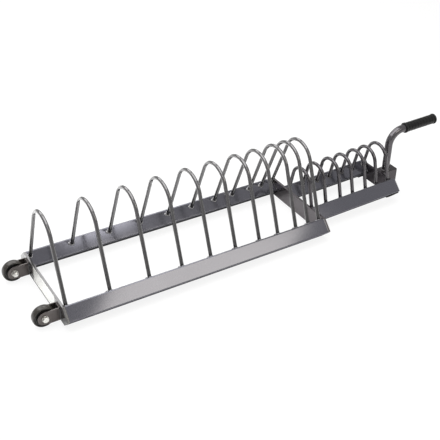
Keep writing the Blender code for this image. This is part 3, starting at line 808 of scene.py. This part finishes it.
def handle_grip():
    """A moulded sleeve: a collar at each end and rows of short raised bars between."""
    bore = POST / 2 + GAP
    valley = GRIP - GRIP_GROOVE
    corners = [(bore, 0), (COLLAR, 0), (COLLAR, COLLAR_LENGTH), (valley, COLLAR_LENGTH + COLLAR_SLOPE)]
    corners += [(valley, GRIP_LENGTH - COLLAR_LENGTH - COLLAR_SLOPE), (COLLAR, GRIP_LENGTH - COLLAR_LENGTH)]
    corners += [(radius, GRIP_LENGTH - back) for radius, back in GRIP_END_PROFILE]
    corners += [(0, GRIP_LENGTH - GRIP_END_WALL + GAP), (bore, GRIP_LENGTH - GRIP_END_WALL + GAP)]
    shape = turned(corners, 64, {1: 0.0015, 2: 0.0012, 5: 0.0012, 6: 0.003, 7: 0.001, 8: 0.001})
    turn = Matrix.Rotation(-math.pi / 2, 4, "Z")
    place = SMALL @ Matrix.Translation((GRIP_START, 0, HANDLE_HEIGHT)) @ turn
    bars = []
    pitch = (GRIP_LENGTH - 2 * COLLAR_LENGTH - 4 * COLLAR_SLOPE) / GRIP_ROWS
    for row in range(GRIP_ROWS):
        start = COLLAR_LENGTH + 2 * COLLAR_SLOPE + (row + GRIP_BAR_START) * pitch
        for k in range(GRIP_BARS):
            turn_of_bar = 2 * math.pi * (k + 0.5 * (row % 2)) / GRIP_BARS
            bars.append(grip_bar(valley, start, GRIP_BAR_WIDTH * pitch, turn_of_bar))
    sleeve = together([shape] + bars)
    piece("grip_sleeve", sleeve, GRIP_RUBBER, ("handle_grip",), place)


def grip_bar(radius, start, width, turn):
    """One raised bar that runs part of the way round the grip."""
    shape = bmesh.new()
    sunk, end = radius - GRIP_BAR_SUNK, start + width
    section = ((sunk, start), (sunk, end), (GRIP, end), (GRIP, start))
    verts = [shape.verts.new((r, y, 0)) for r, y in section]
    face = shape.faces.new(verts)
    sweep = 2 * math.pi / GRIP_BARS * GRIP_BAR_SHARE
    bmesh.ops.rotate(shape, matrix=Matrix.Rotation(turn, 3, "Y"), verts=verts)
    options = {"cent": (0, 0, 0), "axis": (0, 1, 0), "angle": sweep, "steps": 6}
    bmesh.ops.spin(shape, geom=[face] + face.edges[:] + verts, **options)
    bmesh.ops.recalc_face_normals(shape, faces=shape.faces)
    soften(shape, GRIP_BAR_EDGE, 2, 50)
    return shape


def rubber_feet():
    across = FOOT_REACH / math.sqrt(2)
    thick = FOOT_SKIN / math.sqrt(2)
    face = HALF_DIAGONAL + FOOT_GAP
    under, sole = RIDGE + GAP, RIDGE + FOOT_DEPTH
    outline = [(across + thick, across - face - thick), (FOOT_HALF_FLAT, -sole), (-FOOT_HALF_FLAT, -sole)]
    outline += [(-FOOT_HALF_FLAT, -under), (face - under, -under), (across, across - face)]
    for name, side in (("front", -1), ("rear", 1)):
        shape = bar_shape([(side * y, z) for y, z in outline], FOOT_LENGTH, 0.0006)
        place = SMALL @ Matrix.Translation((SMALL_LENGTH - FOOT_LENGTH, side * SMALL_GAUGE, 0))
        piece(f"rubber_pad_{name}", shape, BLACK_RUBBER, (f"foot_{name}",), place)


def fork_shape():
    """A strip of sheet bent into a U about the wheel, its ears round about the axle."""
    shape = bmesh.new()
    half, web = FORK_HALF - FORK_SHEET / 2, FORK_REACH - FORK_SHEET / 2
    tips = [FORK_RADIUS * math.sin(math.pi / 2 * k / 12) for k in range(12, -1, -1)]
    ear = [(-x, -half) for x in tips]
    line = ear + [(web, -half), (web, half)] + [(x, -y) for x, y in reversed(ear)]
    verts = [shape.verts.new((x, y, 0)) for x, y in line]
    for pair in zip(verts, verts[1:]):
        shape.edges.new(pair)
    bends = [verts[len(tips)], verts[len(tips) + 1]]
    round_corners(shape, bends, FORK_BEND - FORK_SHEET / 2)
    grown = bmesh.ops.extrude_edge_only(shape, edges=list(shape.edges))["geom"]
    above = set(verts_in(grown))
    for vert in shape.verts:
        height = math.sqrt(max(0.0, FORK_RADIUS**2 - min(0.0, vert.co.x) ** 2))
        vert.co.z = height if vert in above else -height
    bmesh.ops.remove_doubles(shape, verts=shape.verts, dist=MERGE)
    bmesh.ops.recalc_face_normals(shape, faces=shape.faces)
    return shape


def wheel_forks():
    for name, side in (("front", -1), ("rear", 1)):
        axle = middle(f"tyre_{name}")
        place = Matrix.Translation(axle)
        shape = fork_shape()
        fork = piece(f"wheel_fork_{name}", shape, FORK_PAINT, (f"fork_{name}",), place)
        walls = fork.modifiers.new("sheet", "SOLIDIFY")
        walls.thickness, walls.offset, walls.use_even_offset = FORK_SHEET, 0.0, True
        edges = fork.modifiers.new("edges", "BEVEL")
        edges.width, edges.segments = FORK_EDGE, 2
        edges.limit_method, edges.angle_limit = "ANGLE", math.radians(50)
        carve(fork, rod_shape(AXLE / 2 + RUN, axle, 0.2))


def wheels():
    tyre, rim, half = WHEEL / 2, RIM / 2, WHEEL_WIDTH / 2
    for name in ("front", "rear"):
        place = Matrix.Translation(middle(f"tyre_{name}"))
        body = f"wheel_{name}"
        sunk, ring = half - SIDE_SUNK, rim + SIDE_RING
        right = [(rim + GAP, sunk), (ring, sunk), (ring + TYRE_SLOPE, half)]
        right += [(tyre - TYRE_SHOULDER, half), (tyre, TREAD_HALF)]
        corners = [(radius, -y) for radius, y in right] + right[::-1]
        shape = turned(corners, 96, dict(enumerate(TYRE_ROUNDING + TYRE_ROUNDING[::-1])))
        piece(f"rubber_tyre_{name}", shape, TYRE_RUBBER, (f"tyre_{name}",), place, body)

        bush, hub, hub_half = BUSH / 2 + GAP, HUB / 2, BUSH_HALF - GAP
        inside, edge = rim - RIM_WALL, half - RIM_SUNK
        corners = [(bush, -hub_half), (hub, -hub_half), (hub, -WEB / 2), (inside - WEB_SLOPE, -WEB / 2)]
        corners += [(inside, -edge), (rim, -edge), (rim, edge), (inside, edge)]
        corners += [(inside - WEB_SLOPE, WEB / 2), (hub, WEB / 2), (hub, hub_half), (bush, hub_half)]
        shape = turned(corners, 72, dict.fromkeys(range(len(corners)), 0.0008))
        node = f"wheel_centre_{name}"
        piece(f"wheel_core_{name}", shape, WHEEL_PLASTIC, (node,), place, body)

        bored = AXLE / 2 + RUN
        corners = [(bored, -BUSH_HALF), (BUSH / 2, -BUSH_HALF), (BUSH / 2, BUSH_HALF), (bored, BUSH_HALF)]
        shape = turned(corners, 48, dict.fromkeys(range(4), 0.0004))
        piece(f"steel_bush_{name}", shape, TURNED_STEEL, (f"bush_{name}",), place, body)


def hexagon(levels, bore=0.0):
    """A hexagon about Y that passes through levels of (y, largest radius)."""
    shape = bmesh.new()
    bmesh.ops.create_circle(shape, segments=HEX_POINTS, radius=HEAD_ACROSS)
    bmesh.ops.rotate(shape, matrix=Matrix.Rotation(math.pi / 2, 3, "X"), verts=shape.verts)
    rims = [list(shape.edges)]
    caps = levels + [(levels[-1][0], bore), (levels[0][0], bore)] if bore else levels
    for number, (y, most) in enumerate(caps):
        if number:
            rims.append(edges_in(bmesh.ops.extrude_edge_only(shape, edges=rims[-1])["geom"]))
        for vert in {v for e in rims[-1] for v in e.verts}:
            around = math.atan2(vert.co.z, vert.co.x)
            radius = min(HEAD_ACROSS / 2 / math.cos(around % (math.pi / 3) - math.pi / 6), most)
            vert.co = (radius * math.cos(around), y, radius * math.sin(around))
    if bore:
        bmesh.ops.bridge_loops(shape, edges=rims[0] + rims[-1])
    else:
        bmesh.ops.contextual_create(shape, geom=rims[0])
        bmesh.ops.contextual_create(shape, geom=rims[-1])
    return shape


def shank_shape(length):
    """The bolt's shank, from just inside the head, with its thread at the far end."""
    radius = AXLE / 2
    corners = [(0, 0.001), (radius, 0.001)]
    turns = int(THREAD / THREAD_PITCH)
    for k in range(turns):
        y = -length + THREAD - k * THREAD_PITCH
        corners += [(radius, y), (radius - THREAD_DEPTH, y - THREAD_PITCH / 2)]
    corners += [(radius - THREAD_DEPTH, -length + 0.0004), (radius - 0.001, -length), (0, -length)]
    return turned(corners, 40)


def axle_bolts():
    chamfer = HEAD_ACROSS / 2
    for name, side in (("front", -1), ("rear", 1)):
        outward = Matrix.Rotation(math.pi if side < 0 else 0, 4, "Z")
        place = Matrix.Translation(middle(f"tyre_{name}")) @ outward
        under_head = FORK_HALF + 2 * GAP + WASHER_THICK
        levels = [(0, chamfer), (0.0004, NO_LIMIT), (HEAD_HEIGHT - 0.0014, NO_LIMIT)]
        levels += [(HEAD_HEIGHT - 0.0004, chamfer), (HEAD_HEIGHT, chamfer - 0.0012)]
        shank = shank_shape(2 * under_head + NUT_HEIGHT + THREAD_PAST_NUT)
        bolt = together([hexagon(levels), shank])
        at = place @ Matrix.Translation((0, under_head, 0))
        piece(f"hex_bolt_{name}", bolt, BRIGHT_ZINC, (f"axle_bolt_{name}",), at)

        bored = AXLE / 2 + RUN
        corners = [(bored, 0), (WASHER / 2, 0), (WASHER / 2, WASHER_THICK), (bored, WASHER_THICK)]
        for end, y in (("outer", FORK_HALF + GAP), ("inner", -FORK_HALF - GAP - WASHER_THICK)):
            shape = turned(corners, 48, dict.fromkeys(range(4), 0.0003))
            node = f"washer_{end}_{name}"
            at = place @ Matrix.Translation((0, y, 0))
            piece(f"flat_washer_{end}_{name}", shape, BRIGHT_ZINC, (node,), at)

        levels = [(0, chamfer), (0.0006, NO_LIMIT), (NUT_SHOULDER - 0.0008, NO_LIMIT)]
        levels += [(NUT_SHOULDER, chamfer), (NUT_SHOULDER + 0.0001, NUT_CROWN)]
        levels += [(NUT_HEIGHT - 0.0009, NUT_CROWN), (NUT_HEIGHT, NUT_CROWN - 0.0009)]
        at = place @ Matrix.Translation((0, -under_head, 0)) @ Matrix.Rotation(math.pi, 4, "Z")
        nut = hexagon(levels, bored)
        piece(f"locking_nut_{name}", nut, BRIGHT_ZINC, (f"lock_nut_{name}",), at)


def small_hoop_x(node):
    return (SMALL.inverted() @ middle(node)).x


def foot_place(x, side, gauge, inset, above, lean):
    """Where a leg's centre line meets the inner upper face of its rail, with Z square to that face."""
    down = (above - (HALF_DIAGONAL - inset)) / (math.sin(lean) + math.cos(lean))
    y = side * (gauge - inset + down * math.sin(lean))
    z = above - down * math.cos(lean)
    return Matrix.Translation((x, y, z)) @ Matrix.Rotation(side * math.radians(45), 4, "X")


def foot_welds(name, look, frame_of, hoops, gauge, foot, lean, stops):
    """Beads round the feet of a row of hoops given by their x. With stops, each has a lump where it stops."""
    beads = []
    for number, x in enumerate(hoops):
        for side in (-1, 1):
            place = frame_of @ foot_place(x, side, gauge, *foot, lean)
            shape = bead(ROD / 2 + HOOP_BEAD_OUT, HOOP_BEAD, 40, 9)
            move(shape, Matrix.Rotation(1.7 * number + side, 4, "Z"))
            bmesh.ops.scale(shape, vec=(1, 1 / math.cos(math.radians(45) - lean), 0.9), verts=shape.verts)
            beads.append(move(shape, place))
            if stops:
                shape = lump(STOP, STOP_HEIGHT, number + side)
                bmesh.ops.translate(shape, vec=STOP_AT, verts=shape.verts)
                beads.append(move(shape, place))
    piece(name, together(beads), look, sharp=SHARP_WELD)


def hoop_welds():
    hoops = [middle(f"hoop_{k:02d}").x for k in range(1, MAIN_HOOPS + 1)]
    upright = Matrix.Translation((0, 0, AXIS_Z))
    foot_welds("hoop_foot_welds", WELD_PAINT, upright, hoops, GAUGE, MAIN_FOOT, MAIN_LEAN, True)
    hoops = [small_hoop_x(f"small_hoop_{k}") for k in range(1, SMALL_HOOPS + 1)]
    foot_welds("small_foot_welds", DARK_WELD_PAINT, SMALL, hoops, SMALL_GAUGE, SMALL_FOOT, SMALL_LEAN, False)


def plate_welds():
    """Runs where the closing plates meet the rails of both frames."""
    runs = []
    near, far, inset = TUBE_CORNER, HALF_DIAGONAL - TUBE_CORNER, 0.002
    slopes = (((SHORT - HALF_DIAGONAL, SHORT), (-near, far)), ((near, far), (HALF_DIAGONAL - SHORT, SHORT)))
    inner = GAUGE - HALF_DIAGONAL + inset
    for side in (-1, 1):
        for x in (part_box("plate_wheel_end")[1].x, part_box("plate_middle")[0].x):
            end = (x, side * (GAUGE - near), AXIS_Z + far)
            runs.append(seam((x, side * inner, AXIS_Z + inset), end, PLATE_RUN))
        for ends in slopes:
            start, end = ((PAST_PLATE, side * (SMALL_GAUGE + y), z) for y, z in ends)
            runs.append(move(seam(start, end, THIN_RUN), SMALL))
    return runs


def handle_end_welds():
    """Runs where the bar meets the small rails and the stub, and the bead round the handle's foot."""
    runs = []
    inset, rise = 0.001, BAR_TOP - SHORT
    low = SMALL_GAUGE - HALF_DIAGONAL + inset
    stub_side, corner = STUB_WIDTH / 2, STUB_TOP - SHORT
    for side in (-1, 1):
        for x in (BAR_AT, BAR_AT + PLATE):
            end = (x, side * (low + rise), inset + rise)
            runs.append(seam((x, side * low, inset), end, THIN_RUN))
        end = (STUB_AT, side * stub_side, corner - STUB_HEIGHT + 2 * SHORT)
        runs.append(seam((STUB_AT, side * stub_side, corner), end, PLATE_RUN))
    across = stub_side - SHORT
    runs.append(seam((STUB_AT, -across, STUB_TOP), (STUB_AT, across, STUB_TOP), PLATE_RUN))
    collar = bead(POST / 2 + POST_BEAD_OUT, POST_BEAD, 80, 24)
    bmesh.ops.translate(collar, vec=(POST_AT, 0, STUB_TOP), verts=collar.verts)
    return [move(run, SMALL) for run in runs + [collar]]


def fork_welds():
    """Upright runs where the forks meet the plate at the wheel end."""
    runs = []
    sunk = 0.001
    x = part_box("plate_wheel_end")[0].x - sunk
    reach = FORK_RADIUS - SHORT
    for name in ("front", "rear"):
        axle = middle(f"tyre_{name}")
        for across in (-1, 1):
            y = axle.y + across * (FORK_HALF - sunk)
            runs.append(seam((x, y, axle.z + reach), (x, y, axle.z - reach), THIN_RUN))
    return runs


def frame_welds():
    runs = plate_welds() + handle_end_welds() + fork_welds()
    piece("frame_seam_welds", together(runs), DARK_WELD_PAINT, sharp=SHARP_WELD)


def rail_end_welds():
    """The thin run over the outer upper face of each rail, where the middle plate closes it."""
    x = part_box("plate_middle")[0].x
    far = HALF_DIAGONAL - SHORT
    runs = []
    for side in (-1, 1):
        start, end = (x, side * (GAUGE + SHORT), AXIS_Z + far), (x, side * (GAUGE + far), AXIS_Z + SHORT)
        runs.append(seam(start, end, RAIL_END_RUN))
    piece("rail_end_welds", together(runs), WELD_PAINT, sharp=SHARP_WELD)


def set_camera():
    camera = add("camera", bpy.data.cameras.new("camera"))
    camera.location = CAMERA_AT
    camera.rotation_euler = [math.radians(a) for a in CAMERA_TURN]
    camera.data.sensor_width = 36.0
    camera.data.lens = CAMERA_LENS
    camera.data.clip_end = 100.0
    bpy.context.scene.camera = camera


def set_floor():
    shape = bmesh.new()
    bmesh.ops.create_grid(shape, x_segments=4, y_segments=4, size=FLOOR_REACH)
    bmesh.ops.translate(shape, vec=(0, 0, -FLOOR_DROP), verts=shape.verts)
    mesh = mesh_of("studio floor", shape)
    floor = add("studio_floor", mesh)
    look = Finish("studio floor")
    camera, mirrored = look.ray_kinds()
    pale = look.mix(look.noise(3.0, 2.0), *(shade((1, 1, 1), tone) for tone in FLOOR_TONES))
    look.set(Base_Color=look.mix(camera * (1 - FLOOR_SHADED_SHARE), pale, BLACK), Roughness=0.7)
    look.set(Specular_IOR_Level=0.0, Emission_Color=WHITE)
    look.set(Emission_Strength=camera * FLOOR_WHITE + mirrored * FLOOR_MIRRORED)
    mesh.materials.append(look.material)


def set_world():
    world = bpy.data.worlds.new("studio")
    bpy.context.scene.world = world
    world.use_nodes = True
    sky = Finish("studio", world.node_tree)
    background = world.node_tree.nodes["Background"]
    camera, mirrored = sky.ray_kinds()
    strength = camera * (1 - WORLD_LEVEL) + mirrored * (MIRRORED_LEVEL - WORLD_LEVEL) + WORLD_LEVEL
    sky.feed(background.inputs["Color"], WHITE)
    sky.feed(background.inputs["Strength"], strength)


def softbox(name, at, turn, size, radiance, tint=(1, 1, 1)):
    """A level softbox that shines down."""
    lamp = bpy.data.lights.new(name, "AREA")
    lamp.shape, lamp.size, lamp.size_y = "RECTANGLE", size[0], size[1]
    lamp.energy = radiance * math.pi * size[0] * size[1]
    lamp.color = tint
    made = add(name, lamp)
    made.location = at
    made.rotation_euler = (0, 0, math.radians(turn))
    made.visible_camera = False


bpy.context.scene.view_settings.view_transform = "Standard"
set_camera()
set_floor()
set_world()
for box_name, box_values in SOFTBOXES.items():
    softbox(box_name, **box_values)

main_rails()
closing_plates()
main_hoops()
small_rails()
small_hoops()
handle_end_bar()
handle_stub()
handle_tube()
handle_grip()
rubber_feet()
wheel_forks()
wheels()
axle_bolts()
hoop_welds()
frame_welds()
rail_end_welds()
